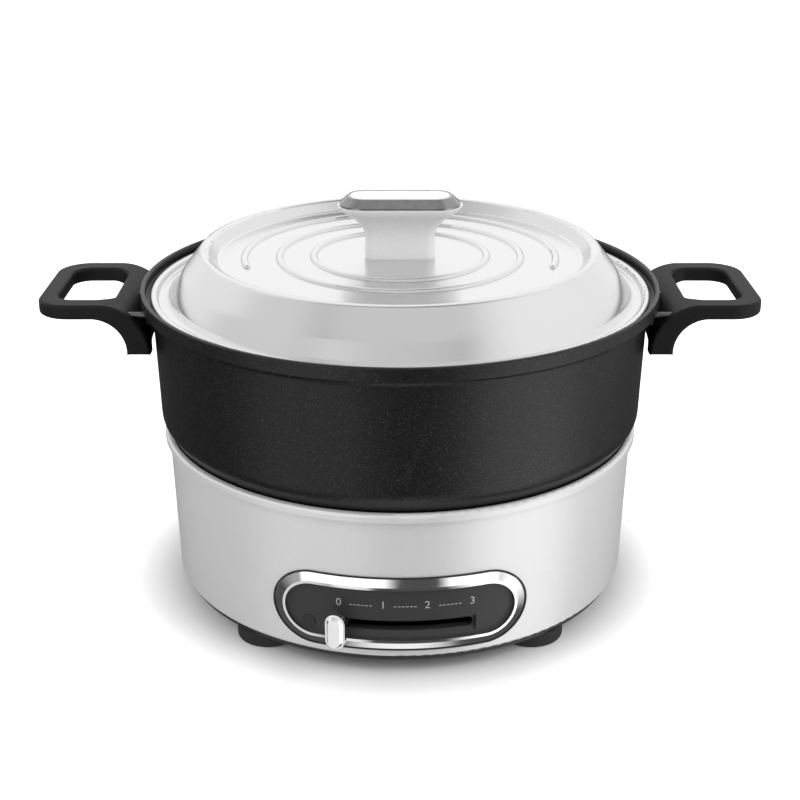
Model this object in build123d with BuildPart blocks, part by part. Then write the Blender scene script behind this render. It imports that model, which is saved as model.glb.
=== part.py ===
from build123d import *
import os
from math import acos, asin, cos, degrees, pi, radians, sin, sqrt, tan

# An electric multicooker: a heater base, a pot that lifts out and a lid that lifts off.
# Lengths are in millimetres, angles in degrees. The front is -Y, the floor is Z = 0.
# A turn is measured round the base from the front, towards the right (+X).

# Fits and allowances
overrun = 2.0
slip_gap = 0.3
snug_gap = 0.1
shaft_gap = 0.05
rest_gap = 0.3

# Base shell and the ring round its mouth
base_bottom_radius = 131.3
base_flare = 2.4
shell_height = 80.5
shell_wall = 1.6
shell_edge_radius = 1.5
shell_flange_width = 9.3
lip_height = 4.5
lip_overhang = 2.4
lip_top_radius = 1.8
lip_edge_radius = 0.6
skirt_depth = 9.0
skirt_thickness = 1.4

# Bottom cover, feet and their screws
foot_height = 8.5
foot_radius = 18.0
foot_edge_radius = 1.5
foot_edge_inset = 1.3
foot_turn = 40.0
foot_recess_radius = 5.0
foot_recess_depth = 3.2
foot_boss_height = 8.0
cover_thickness = 3.0
cover_edge_inset = 2.3
cover_rib_height = 3.0
cover_rib_thickness = 1.5
cover_boss_wall = 3.5
cover_screw_inset = 6.1
cover_screw_turns = (0.0, 75.0, 155.0, 205.0, 285.0)
cover_screw_reach = 3.0
cover_head_recess = 1.8
vent_count = 12
vent_circle_radius = 52.0
vent_length = 26.0
vent_width = 4.0
screw_radius = 1.75
screw_head_radius = 3.4
screw_head_height = 1.6
screw_hole_radius = screw_radius + snug_gap
screw_recess_radius = screw_head_radius + slip_gap

# Heater: pan, plate, element and the three posts that carry them
pan_sheet = 1.0
pan_floor_height = 36.0
pan_floor_inset = 23.3
pan_bend_radius = 6.0
pan_rim_drop = 4.0
pan_shoulder_drop = 11.5
pan_centre_radius = 22.0
heater_edge_gap = 8.0
heater_thickness = 8.0
heater_edge_radius = 2.0
heater_boss_radius = 7.0
heater_boss_height = 4.0
ridge_width = 14.0
ridge_height = 8.0
element_thermostat_gap = 4.1
element_radius = 3.5
element_sink = 2.0
element_gap_angle = 40.0
element_leg = 10.0
element_pin_radius = 1.5
element_pin_length = 6.0
post_inset = 12.0
post_turns = (30.0, 150.0, 270.0)
post_radius = 5.0
post_neck_radius = 3.6
post_neck_length = 9.0
post_boss_height = 5.0
post_boss_wall = 3.0
post_head_recess = 4.0
post_screw_bite = 5.0

# Lever, sector, pinion and spindle of the thermostat
lever_height = 18.1
arm_thickness = 3.0
arm_width = 10.0
arm_tip_width = 5.0
arm_shoulder_inset = 10.0
hub_radius = 12.0
hub_height = 12.0
pivot_radius = 5.0
pivot_boss_wall = 5.0
pivot_boss_height = 11.0
pivot_groove_depth = 1.0
clip_thickness = 1.0
clip_width = 3.5
clip_gap = 0.3
shaft_inset = 18.9
pinion_teeth = 18
sector_teeth = 144
sector_spare_teeth = 3
pressure_angle = 20.0
tip_share = 0.95
root_share = 1.25
backlash = 0.15
mesh_gap = 0.1
flank_points = 4
pinion_width = 5.0
spindle_radius = 3.0
spindle_flat = 0.6
spindle_overhang = 2.0
spindle_bite = 9.0
thermostat_length = 36.0
thermostat_width = 20.0
thermostat_height = 18.0
thermostat_edge_radius = 1.5
thermostat_window_gap = 5.0
tab_width = 5.0
tab_thickness = 0.8
tab_length = 6.0
tab_spacing = 10.0
tab_height = 2.5

# Control panel, bezel, knob and indicator
panel_height = 26.2
bezel_length = 131.2
bezel_width = 42.0
bezel_proud = 2.2
bezel_bevel_width = 4.4
bezel_bevel_depth = 1.7
bezel_wall = 1.8
bezel_window_lap = 1.6
bezel_skirt_depth = 8.0
bezel_end_rim = 5.2
bezel_side_rim = 6.0
panel_thickness = 6.5
slot_side_gap = 1.2
slot_end_gap = 1.6
channel_depth = 2.0
channel_above_slot = 1.8
channel_start_angle = 0.5
channel_end_margin = 1.6
channel_foot_margin = 1.4
knob_length = 20.4
knob_width = 10.6
knob_depth = 5.2
knob_stand_off = 9.0
knob_rise = 1.9
knob_rim = 1.0
knob_bevel = 1.2
knob_face_rise = 1.8
knob_edge_radius = 0.4
knob_socket_depth = 3.2
knob_rest_share = 0.2347
knob_stop_share = 0.26
lamp_share = 0.3633
lamp_height = 17.4
lens_radius = 3.6
lens_proud = 0.4
lens_edge_radius = 0.3
lens_flange = 1.2
lens_flange_thickness = 1.2
led_radius = 2.5
led_length = 8.0

# Power inlet at the back
inlet_height = 21.0
inlet_length = 38.0
inlet_width = 30.0
inlet_corner_radius = 4.0
inlet_edge_radius = 1.0
inlet_proud = 1.2
inlet_depth = 27.0
inlet_ear = 3.0
inlet_ear_thickness = 3.0
inlet_ear_inset = 5.6
socket_length = 24.0
socket_width = 16.5
socket_corner_radius = 3.0
socket_depth = 18.0
blade_width = 2.0
blade_height = 4.0
blade_spacing = 7.0
blade_offset = 2.0
blade_recess = 5.0
blade_tail = 6.0

# Wiring and thermal fuse
wire_radius = 1.4
wire_bend_radius = 3.0
wire_run = 7.0
wire_post_gap = 8.0
wire_turns = (150.0, 125.0)
wire_slack = 5.0
fuse_radius = 2.4
fuse_length = 14.0
fuse_lead = 16.0
fuse_clip_thickness = 0.6
fuse_clip_width = 7.0
fuse_clip_foot = 5.0

# Pot
pot_gap = 1.0
pot_taper_share = 0.6
pot_corner_rise = 8.7
pot_corner_radius = 10.0
pot_base_radius = 10.0
pot_wall_height = 65.5
pot_flare = 1.9
pot_wall = 3.0
pot_floor = 4.0
rim_overhang = 5.9
rim_height = 7.9
rim_edge_radius = 0.8
rim_cove_radius = 1.5
rim_under_share = 0.75
rim_collar = 2.5
rim_ledge_depth = 5.4
ledge_step = 1.2
ledge_step_height = 5.0
rib_inset = 1.5
rib_height = 5.5
rib_angle = 35.0

# Pot handles
handle_reach = 54.0
handle_drop = 3.3
handle_thickness = 8.2
handle_width = 82.4
handle_corner_radius = 18.0
handle_edge_radius = 1.8
handle_leg_tuck = 8.3
handle_leg_thickness = 12.9
handle_leg_length = 1.2
handle_top_bend = 27.3
handle_under_bend = 18.8
handle_wall_gap = 1.4
handle_rib_gap = 0.7
upright_share = 0.01
grip_length = 31.2
grip_width = 58.0
grip_bar = 10.0
grip_corner_radius = 10.0
handle_pin_radius = 1.6
handle_pin_drop = 2.2
handle_pin_spread = 36.0
handle_pin_bite = 11.0
handle_pin_root = 4.0
handle_screw_bite = 5.0
handle_head_recess = 2.6

# Lid
lid_sheet = 1.2
lid_edge_gap = 2.5
bead_rise = 2.0
bead_width = 3.9
bead_slope = 0.8
bead_height = 3.4
flange_width = 11.2
knee_inset = 7.4
knee_height = 13.1
shoulder_inset = 17.8
crest_height = 26.2
crest_width = 4.0
lid_floor_drop = 6.4
lid_floor_slope = 5.4
bead_bend_radius = 1.7
foot_bend_radius = 5.0
knee_bend_radius = 25.0
shoulder_bend_radius = 3.5
crest_bend_radius = 3.0
floor_bend_radius = 2.0
ring_radius_shares = (0.477, 0.664)
arc_ring_radius_share = 0.856
arc_ring_angle = 212.0
ring_half_width = 2.2
ring_rise = 1.5

# Lid handle
stem_height = 29.1
stem_waist_length = 38.2
stem_waist_width = 19.0
stem_waist_corner = 5.0
stem_top_length = 69.2
stem_top_width = 31.2
stem_top_corner = 14.0
stem_level_shares = (0.0, 0.34, 0.57, 0.72, 0.9, 1.0)
stem_spread_shares = (0.0, 0.01, 0.1, 0.33, 0.84, 1.0)
trim_inset = 1.0
trim_rim_height = 0.9
trim_height = 5.4
trim_bevel_length = 4.6
trim_bevel_width = 3.0
trim_edge = 1.4
trim_pocket_depth = 1.8
cap_sink = 0.2
lid_screw_spacing = 18.0
lid_screw_length = 16.0
washer_radius = 5.0
washer_thickness = 0.8


# Heights and radii worked out from the sizes above
shell_bottom = foot_height + cover_thickness
shell_top = shell_bottom + shell_height
shell_top_radius = base_bottom_radius + base_flare
ring_top = shell_top + lip_height
flange_inner_radius = base_bottom_radius - shell_flange_width


def shell_radius(height):
    """Outer radius of the shell at a height above the floor."""
    return base_bottom_radius + base_flare * (height - shell_bottom) / shell_height


skirt_outer = shell_radius(shell_top - skirt_depth) - shell_wall - slip_gap / 2
skirt_inner = skirt_outer - skirt_thickness
mouth_radius = skirt_inner + lip_height * pot_taper_share
cover_radius = base_bottom_radius - cover_edge_inset
cover_screw_circle = base_bottom_radius - cover_screw_inset
foot_circle_radius = base_bottom_radius - foot_radius - foot_edge_inset

pan_floor = shell_bottom + pan_floor_height
pan_floor_radius = base_bottom_radius - pan_floor_inset
heater_radius = pan_floor_radius - heater_edge_gap
post_circle_radius = heater_radius - post_inset
pan_rim_radius = skirt_inner - slip_gap
post_bottom = shell_bottom + post_boss_height
heater_boss_bottom = pan_floor + post_neck_length
heater_bottom = heater_boss_bottom + heater_boss_height
heater_top = heater_bottom + heater_thickness
element_height = heater_bottom - ridge_height + element_sink
element_leg_end = element_height - element_leg
element_pin_end = element_leg_end - element_pin_length

lever_middle = shell_bottom + lever_height
arm_bottom = lever_middle - arm_thickness / 2
hub_bottom = shell_bottom + pivot_boss_height + rest_gap
hub_top = hub_bottom + hub_height
front_radius = shell_radius(lever_middle)
shaft_distance = heater_radius - shaft_inset
gear_module = 2 * (shaft_distance - mesh_gap) / (pinion_teeth + sector_teeth)
element_circle_radius = shaft_distance - thermostat_width / 2 - element_thermostat_gap - ridge_width / 2
pinion_bottom = lever_middle - pinion_width / 2
thermostat_bottom = heater_bottom - thermostat_height
tab_middle = thermostat_bottom + tab_height

panel_middle = shell_bottom + panel_height
opening_length = bezel_length - 2 * bezel_end_rim
opening_width = bezel_width - 2 * bezel_side_rim
lamp_middle = shell_bottom + lamp_height
lamp_turn = -degrees(asin(bezel_length * lamp_share / shell_radius(lamp_middle)))
lever_rest_turn = -degrees(asin(bezel_length * knob_rest_share / front_radius))
lever_travel = degrees(asin(bezel_length * knob_stop_share / front_radius)) - lever_rest_turn
knob_back = front_radius + knob_stand_off

pot_bottom = heater_top + rest_gap
pot_corner_height = ring_top + pot_corner_rise
pot_corner = mouth_radius - pot_gap + pot_corner_rise * pot_taper_share
pot_base = pot_corner - (pot_corner_height - pot_bottom) * pot_taper_share
pot_top_radius = pot_corner + pot_flare
rim_bottom = pot_corner_height + pot_wall_height
rim_top = rim_bottom + rim_height
rim_radius = pot_top_radius + rim_overhang
rim_inner_radius = rim_radius - rim_collar
ledge_height = rim_top - rim_ledge_depth
rib_radius = rim_radius - rib_inset
rib_bottom = rim_bottom - rib_height

handle_top = rim_top - handle_drop
handle_end = rim_radius + handle_reach
handle_leg_inner = rim_radius - handle_leg_tuck
handle_leg_outer = handle_leg_inner + handle_leg_thickness
handle_leg_bottom = handle_top - handle_top_bend - handle_leg_length
grip_outer = handle_end - grip_bar
grip_inner = grip_outer - grip_length
handle_pin_height = rim_bottom - handle_pin_drop

lid_radius = rim_inner_radius - lid_edge_gap
lid_edge_height = ledge_height + rest_gap
bead_top = lid_edge_height + bead_rise
flange_top = bead_top - bead_height
lid_wall_radius = lid_radius - flange_width
crest_outer_radius = lid_wall_radius - shoulder_inset
lid_floor_radius = crest_outer_radius - crest_width - lid_floor_slope
lid_crest = flange_top + crest_height
lid_floor = lid_crest - lid_floor_drop
arc_ring_radius = lid_floor_radius * arc_ring_radius_share
stem_top = lid_floor + stem_height


# Helpers

def save(piece, name):
    """Label a finished piece and write it under its own name."""
    piece.part.label = name
    export_step(piece.part, f"parts/{name}.step")


def around(turn, radius):
    """The place at a turn from the front and a radius from the middle."""
    return (radius * sin(radians(turn)), -radius * cos(radians(turn)))


def outward_plane(turn, radius, height):
    """A plane that faces outwards from the middle of the base."""
    facing = (*around(turn, 1), 0)
    return Plane(origin=(*around(turn, radius), height), x_dir=(*around(turn + 90, 1), 0), z_dir=facing)


def section_plane(turn):
    """A plane through the middle, with radius as its X and height as its Y."""
    return Plane(origin=(0, 0, 0), x_dir=(*around(turn, 1), 0), z_dir=(*around(turn - 90, 1), 0))


def rod(plane, radius, length, mode=Mode.ADD):
    """A round rod that starts on a plane and runs along its normal."""
    with BuildSketch(plane) as section:
        Circle(radius)
    extrude(section.sketch, amount=length, mode=mode)


def screw(plane, length, head_radius=screw_head_radius, radius=screw_radius):
    """A pan-head screw, its head's seat on the plane, its shank along the normal."""
    rod(plane, radius, length)
    rod(plane, head_radius, -screw_head_height)


def drill(place, height, radius, depth):
    """A round hole that starts at a height and runs upwards."""
    rod(Plane((*place, height)), radius, depth, mode=Mode.SUBTRACT)


def turned(points):
    """A full turn of a closed outline of (radius, height) points."""
    with BuildSketch(Plane.XZ) as section:
        with BuildLine():
            Polyline(*points, close=True)
        make_face()
    revolve(section.sketch, axis=Axis.Z)


def wall_band(inner, outer):
    """A band that follows the shell's outer face, between two distances from it."""
    low = shell_bottom
    high = shell_top
    turned([
        (shell_radius(low) + inner, low),
        (shell_radius(low) + outer, low),
        (shell_radius(high) + outer, high),
        (shell_radius(high) + inner, high),
    ])


def front_slot(length, width, mode=Mode.SUBTRACT):
    """A round-ended slot seen from the front, run right through the front of the base."""
    with BuildSketch(Plane.XZ) as section:
        with Locations((0, panel_middle)):
            SlotOverall(length, width)
    extrude(section.sketch, amount=base_bottom_radius + bezel_skirt_depth, mode=mode)


def flank_angle(teeth, radius):
    """Half of a tooth's angle at a radius, on an involute from the gear's base circle."""
    pitch_radius = gear_module * teeth / 2
    base_radius = pitch_radius * cos(radians(pressure_angle))
    lean = acos(min(1, base_radius / radius))
    pitch_lean = radians(pressure_angle)
    half_tooth = (pi * gear_module / 2 - backlash) / (2 * pitch_radius)
    return half_tooth + (tan(pitch_lean) - pitch_lean) - (tan(lean) - lean)


def gear_outline(teeth, numbers, shift):
    """Points along the teeth with the given numbers, turned by a shift in degrees."""
    pitch_radius = gear_module * teeth / 2
    root = pitch_radius - root_share * gear_module
    tip = pitch_radius + tip_share * gear_module
    start = max(root, pitch_radius * cos(radians(pressure_angle)))
    radii = [start + (tip - start) * step / (flank_points - 1) for step in range(flank_points)]
    flank = [(root, flank_angle(teeth, start))] if root < start else []
    flank = flank + [(radius, flank_angle(teeth, radius)) for radius in radii]
    points = []
    for number in numbers:
        middle = radians(shift) + 2 * pi * number / teeth
        points += [(radius * cos(middle - half), radius * sin(middle - half)) for radius, half in flank]
        flank_back = reversed(flank)
        points += [(radius * cos(middle + half), radius * sin(middle + half)) for radius, half in flank_back]
    return points


os.makedirs("parts", exist_ok=True)


# Feet

foot_turns = {
    "foot_front_left": -foot_turn,
    "foot_front_right": foot_turn,
    "foot_rear_right": 180 - foot_turn,
    "foot_rear_left": 180 + foot_turn,
}
foot_places = [around(turn, foot_circle_radius) for turn in foot_turns.values()]

for foot_name, foot_place in zip(foot_turns, foot_places):
    with BuildPart() as foot:
        with BuildSketch():
            with Locations(foot_place):
                Circle(foot_radius)
        extrude(amount=foot_height)
        fillet(foot.edges().group_by(Axis.Z)[0], foot_edge_radius)
        with BuildSketch():
            with Locations(foot_place):
                Circle(foot_recess_radius)
        extrude(amount=foot_recess_depth, mode=Mode.SUBTRACT)
        with BuildSketch():
            with Locations(foot_place):
                Circle(screw_hole_radius)
        extrude(amount=foot_height + overrun, mode=Mode.SUBTRACT)
    save(foot, foot_name)

with BuildPart() as foot_screws:
    for foot_place in foot_places:
        screw(Plane((*foot_place, foot_recess_depth)), foot_height + cover_thickness + foot_boss_height / 2)
save(foot_screws, "foot_screws")


# Bottom cover

post_places = [around(turn, post_circle_radius) for turn in post_turns]
cover_screw_places = [around(turn, cover_screw_circle) for turn in cover_screw_turns]
cover_top_plane = Plane.XY.offset(shell_bottom)
cover_hole_length = cover_thickness + foot_boss_height + pivot_boss_height

with BuildPart() as bottom_cover:
    rod(Plane.XY.offset(foot_height), cover_radius, cover_thickness)
    with BuildSketch(cover_top_plane):
        Circle(flange_inner_radius - slip_gap)
        Circle(flange_inner_radius - slip_gap - cover_rib_thickness, mode=Mode.SUBTRACT)
    extrude(amount=cover_rib_height)
    with BuildSketch(cover_top_plane):
        with Locations(*foot_places):
            Circle(screw_radius + cover_boss_wall)
    extrude(amount=foot_boss_height)
    with BuildSketch(cover_top_plane):
        with Locations(*post_places):
            Circle(post_radius + post_boss_wall)
    extrude(amount=post_boss_height)
    rod(cover_top_plane, pivot_radius + pivot_boss_wall, pivot_boss_height)
    rod(cover_top_plane, pivot_radius, pivot_boss_height + overrun, mode=Mode.SUBTRACT)
    for hole_place in foot_places + post_places + cover_screw_places:
        drill(hole_place, foot_height, screw_hole_radius, cover_hole_length)
    for hole_place in post_places:
        drill(hole_place, foot_height, screw_recess_radius, post_head_recess)
    for hole_place in cover_screw_places:
        drill(hole_place, foot_height, screw_recess_radius, cover_head_recess)
    with BuildSketch(Plane.XY.offset(foot_height)):
        with PolarLocations(vent_circle_radius, vent_count):
            SlotOverall(vent_length, vent_width)
    extrude(amount=cover_thickness, mode=Mode.SUBTRACT)
save(bottom_cover, "bottom_cover")

with BuildPart() as cover_screws:
    for hole_place in cover_screw_places:
        screw_seat = Plane((*hole_place, foot_height + cover_head_recess))
        screw(screw_seat, cover_thickness - cover_head_recess + shell_wall + cover_screw_reach)
save(cover_screws, "cover_screws")


# Base shell

inlet_middle = shell_bottom + inlet_height
inlet_face = shell_radius(inlet_middle) + inlet_proud


def inlet_plane(depth):
    """A plane that faces backwards, a depth inside the inlet's outer face."""
    return Plane(origin=(0, inlet_face - depth, inlet_middle), x_dir=(-1, 0, 0), z_dir=(0, 1, 0))


window_length = bezel_length - 2 * bezel_window_lap
window_width = bezel_width - 2 * bezel_window_lap

with BuildPart() as base_shell:
    with BuildSketch(Plane.XZ):
        with BuildLine():
            Polyline(
                (flange_inner_radius, shell_bottom),
                (base_bottom_radius, shell_bottom),
                (shell_top_radius, shell_top),
                (shell_top_radius - shell_wall, shell_top),
                (shell_radius(shell_bottom + shell_wall) - shell_wall, shell_bottom + shell_wall),
                (flange_inner_radius, shell_bottom + shell_wall),
                close=True,
            )
        shell_section = make_face()
        fillet(shell_section.vertices().sort_by(Axis.Y)[:3].sort_by(Axis.X)[-1], shell_edge_radius)
    revolve(axis=Axis.Z)
    front_slot(window_length, window_width)
    with BuildSketch(inlet_plane(inlet_depth)):
        RectangleRounded(inlet_length + 2 * slip_gap, inlet_width + 2 * slip_gap, inlet_corner_radius)
    extrude(amount=inlet_depth + overrun, mode=Mode.SUBTRACT)
    for hole_place in cover_screw_places:
        drill(hole_place, shell_bottom, screw_hole_radius, shell_wall + overrun)
save(base_shell, "base_shell")


# Ring round the mouth of the base

with BuildPart() as top_ring:
    with BuildSketch(Plane.XZ):
        with BuildLine():
            Polyline(
                (mouth_radius, ring_top),
                (shell_top_radius + lip_overhang, ring_top),
                (shell_top_radius + lip_overhang, shell_top),
                (skirt_outer, shell_top),
                (skirt_outer, shell_top - skirt_depth),
                (skirt_inner, shell_top - skirt_depth),
                (skirt_inner, shell_top),
                close=True,
            )
        ring_section = make_face()
        lip_corners = ring_section.vertices().sort_by(Axis.X)
        fillet(lip_corners[-2:].sort_by(Axis.Y)[-1], lip_top_radius)
        fillet(ring_section.vertices().sort_by(Axis.X)[-1:], lip_edge_radius)
    revolve(axis=Axis.Z)
save(top_ring, "top_ring")


# Heater posts, plate, element and pan

with BuildPart() as heater_posts:
    for post_place in post_places:
        rod(Plane((*post_place, post_bottom)), post_radius, pan_floor - post_bottom)
        rod(Plane((*post_place, pan_floor)), post_neck_radius, post_neck_length)
    for post_place in post_places:
        post_length = heater_boss_bottom - post_bottom
        drill(post_place, post_bottom, screw_hole_radius, post_length)
save(heater_posts, "heater_posts")

with BuildPart() as heater_screws:
    for post_place in post_places:
        post_seat = foot_height + post_head_recess
        screw(Plane((*post_place, post_seat)), heater_bottom + post_screw_bite - post_seat)
save(heater_screws, "heater_screws")

with BuildPart() as heating_plate:
    rod(Plane.XY.offset(heater_bottom), heater_radius, heater_thickness)
    fillet(heating_plate.edges().group_by(Axis.Z)[-1], heater_edge_radius)
    with BuildSketch(Plane.XY.offset(heater_bottom)):
        Circle(element_circle_radius + ridge_width / 2)
        Circle(element_circle_radius - ridge_width / 2, mode=Mode.SUBTRACT)
    extrude(amount=-ridge_height)
    with BuildSketch(Plane.XY.offset(heater_boss_bottom)):
        with Locations(*post_places):
            Circle(heater_boss_radius)
    extrude(amount=heater_boss_height)
    for post_place in post_places:
        bite_depth = heater_boss_height + post_screw_bite + slip_gap
        drill(post_place, heater_boss_bottom, screw_hole_radius, bite_depth)
    with BuildSketch(Plane.XZ):
        with Locations((element_circle_radius, element_height)):
            Circle(element_radius + snug_gap)
            Rectangle(
                2 * (element_radius + snug_gap),
                element_sink + overrun,
                align=(Align.CENTER, Align.MAX),
            )
    revolve(axis=Axis.Z, mode=Mode.SUBTRACT)
save(heating_plate, "heating_plate")

element_end_turns = (180 - element_gap_angle / 2, 180 + element_gap_angle / 2)

with BuildPart() as heating_element:
    with BuildSketch(section_plane(element_end_turns[1])):
        with Locations((element_circle_radius, element_height)):
            Circle(element_radius)
    revolve(axis=Axis.Z, revolution_arc=360 - element_gap_angle)
    for end_turn in element_end_turns:
        end_place = around(end_turn, element_circle_radius)
        with Locations((*end_place, element_height)):
            Sphere(element_radius)
        rod(Plane((*end_place, element_leg_end)), element_radius, element_leg)
        rod(Plane((*end_place, element_pin_end)), element_pin_radius, element_pin_length)
save(heating_element, "heating_element")

thermostat_place = (shaft_distance, 0)
element_window_length = 2 * (element_circle_radius * sin(radians(element_gap_angle / 2)) + 2 * element_radius)
element_window_place = (0, element_circle_radius * cos(radians(element_gap_angle / 2)))

with BuildPart() as inner_pan:
    with BuildSketch(Plane.XZ):
        with BuildLine():
            FilletPolyline(
                (pan_rim_radius, shell_top - pan_rim_drop),
                (pan_rim_radius, shell_top - pan_shoulder_drop),
                (pan_floor_radius, pan_floor),
                (pan_centre_radius, pan_floor),
                radius=pan_bend_radius,
            )
            offset(amount=pan_sheet, side=Side.RIGHT)
        make_face()
    revolve(axis=Axis.Z)
    for post_place in post_places:
        drill(post_place, pan_floor, post_neck_radius + slip_gap, overrun)
    with BuildSketch(Plane.XY.offset(pan_floor)):
        with Locations(thermostat_place):
            Rectangle(thermostat_width + thermostat_window_gap, thermostat_length + thermostat_window_gap)
        with Locations(element_window_place):
            SlotOverall(element_window_length, 4 * element_radius)
    extrude(amount=overrun, mode=Mode.SUBTRACT)
save(inner_pan, "inner_pan")


# Thermostat, spindle, pinion, lever and its pivot

tab_places = [(shaft_distance - tab_spacing / 2, 0), (shaft_distance + tab_spacing / 2, 0)]

with BuildPart() as thermostat_body:
    with BuildSketch(Plane.XY.offset(thermostat_bottom)):
        with Locations(thermostat_place):
            RectangleRounded(thermostat_width, thermostat_length, thermostat_edge_radius)
    extrude(amount=thermostat_height)
    drill(thermostat_place, thermostat_bottom, spindle_radius + shaft_gap, spindle_bite + rest_gap)
save(thermostat_body, "thermostat_body")

with BuildPart() as thermostat_tabs:
    with BuildSketch(Plane.XZ.offset(-thermostat_length / 2)):
        for tab_place in tab_places:
            with Locations((tab_place[0], tab_middle)):
                Rectangle(tab_width, tab_thickness)
    extrude(amount=-tab_length)
save(thermostat_tabs, "thermostat_tabs")

spindle_bottom = pinion_bottom - spindle_overhang


def spindle_section(gap):
    """A round spindle section with a flat on its outer side, all grown by a gap."""
    with Locations(thermostat_place):
        Circle(spindle_radius + gap)
    flat_place = (shaft_distance + spindle_radius - spindle_flat + gap, 0)
    with Locations(flat_place):
        Rectangle(
            spindle_radius,
            2 * (spindle_radius + overrun),
            align=(Align.MIN, Align.CENTER),
            mode=Mode.SUBTRACT,
        )


with BuildPart() as thermostat_spindle:
    with BuildSketch(Plane.XY.offset(spindle_bottom)):
        spindle_section(0)
    extrude(amount=pinion_width + 2 * spindle_overhang)
    shaft_bottom = spindle_bottom + pinion_width + 2 * spindle_overhang
    rod(
        Plane((*thermostat_place, shaft_bottom)),
        spindle_radius,
        thermostat_bottom + spindle_bite - shaft_bottom,
    )
save(thermostat_spindle, "thermostat_spindle")

with BuildPart() as thermostat_pinion:
    with BuildSketch(Plane((*thermostat_place, pinion_bottom))):
        with BuildLine():
            Polyline(*gear_outline(pinion_teeth, range(pinion_teeth), 180 / pinion_teeth), close=True)
        make_face()
    extrude(amount=pinion_width)
    with BuildSketch(Plane.XY.offset(pinion_bottom)):
        spindle_section(shaft_gap)
    extrude(amount=pinion_width, mode=Mode.SUBTRACT)
save(thermostat_pinion, "thermostat_pinion")

pivot_top = hub_top + clip_gap + clip_thickness + pivot_groove_depth
clip_bottom = hub_top + clip_gap
lever_plane = section_plane(lever_rest_turn)
arm_plane = Plane(origin=(0, 0, arm_bottom), x_dir=lever_plane.x_dir, z_dir=(0, 0, 1))
arm_shoulder = front_radius - arm_shoulder_inset
arm_end = knob_back + knob_socket_depth
pitch_angle = 360 / sector_teeth
first_tooth = -round(lever_travel / pitch_angle) - sector_spare_teeth

with BuildPart() as slider_lever:
    with BuildSketch(arm_plane):
        with Locations((arm_shoulder / 2, 0)):
            Rectangle(arm_shoulder, arm_width)
        with Locations((arm_end / 2, 0)):
            Rectangle(arm_end, arm_tip_width)
    extrude(amount=arm_thickness)
    with BuildSketch(Plane.XY.offset(arm_bottom)):
        with BuildLine():
            sector_numbers = range(first_tooth, sector_spare_teeth + 1)
            Polyline((0, 0), *gear_outline(sector_teeth, sector_numbers, 0), close=True)
        make_face()
    extrude(amount=arm_thickness)
    rod(Plane.XY.offset(hub_bottom), hub_radius, hub_height)
    rod(Plane.XY.offset(hub_bottom), pivot_radius + shaft_gap, hub_height, mode=Mode.SUBTRACT)
save(slider_lever, "slider_lever")

with BuildPart() as lever_pivot:
    rod(cover_top_plane, pivot_radius, pivot_top - shell_bottom)
    with BuildSketch(Plane.XY.offset(clip_bottom)):
        Circle(pivot_radius)
        Circle(pivot_radius - pivot_groove_depth, mode=Mode.SUBTRACT)
    extrude(amount=clip_thickness, mode=Mode.SUBTRACT)
save(lever_pivot, "lever_pivot")

with BuildPart() as pivot_clip:
    with BuildSketch(Plane.XY.offset(clip_bottom)):
        Circle(pivot_radius - pivot_groove_depth + snug_gap + clip_width)
        Circle(pivot_radius - pivot_groove_depth + snug_gap, mode=Mode.SUBTRACT)
    extrude(amount=clip_thickness)
save(pivot_clip, "pivot_clip")


# Slider knob

knob_plane = outward_plane(lever_rest_turn, knob_back, lever_middle + knob_rise)
arm_tip_plane = outward_plane(lever_rest_turn, knob_back, lever_middle)
knob_plate = knob_depth - knob_face_rise
face_foot = 2 * knob_rim
face_inset = 2 * (knob_rim + knob_bevel)

with BuildPart() as slider_knob:
    with BuildSketch(knob_plane):
        SlotOverall(knob_length, knob_width, rotation=90)
    extrude(amount=knob_plate)
    knob_front = slider_knob.faces().sort_by(Axis(knob_plane.origin, knob_plane.z_dir))[-1]
    fillet(knob_front.edges(), knob_edge_radius)
    with BuildSketch(knob_plane.offset(knob_plate)):
        SlotOverall(knob_length - face_foot, knob_width - face_foot, rotation=90)
    with BuildSketch(knob_plane.offset(knob_depth)):
        SlotOverall(knob_length - face_inset, knob_width - face_inset, rotation=90)
    loft(ruled=True)
    with BuildSketch(arm_tip_plane):
        Rectangle(arm_tip_width + 2 * snug_gap, arm_thickness + 2 * snug_gap)
    extrude(amount=knob_socket_depth + snug_gap, mode=Mode.SUBTRACT)
save(slider_knob, "slider_knob")


# Control panel and bezel

panel_length = window_length - 2 * (slip_gap + bezel_wall + slip_gap)
panel_width = window_width - 2 * (slip_gap + bezel_wall + slip_gap)
slot_width = arm_thickness + 2 * slot_side_gap
slot_left = front_radius * sin(radians(lever_rest_turn)) - arm_tip_width / 2 - slot_end_gap
slot_right = front_radius * sin(radians(lever_rest_turn + lever_travel)) + arm_tip_width / 2 + slot_end_gap
channel_top = lever_middle + slot_width / 2 + channel_above_slot
channel_foot = panel_middle - opening_width / 2 + channel_foot_margin
channel_left_turn = lever_rest_turn + channel_start_angle
channel_arc = degrees(asin((slot_right + channel_end_margin) / front_radius)) - channel_left_turn
lens_plane = outward_plane(lamp_turn, shell_radius(lamp_middle), lamp_middle)

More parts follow.
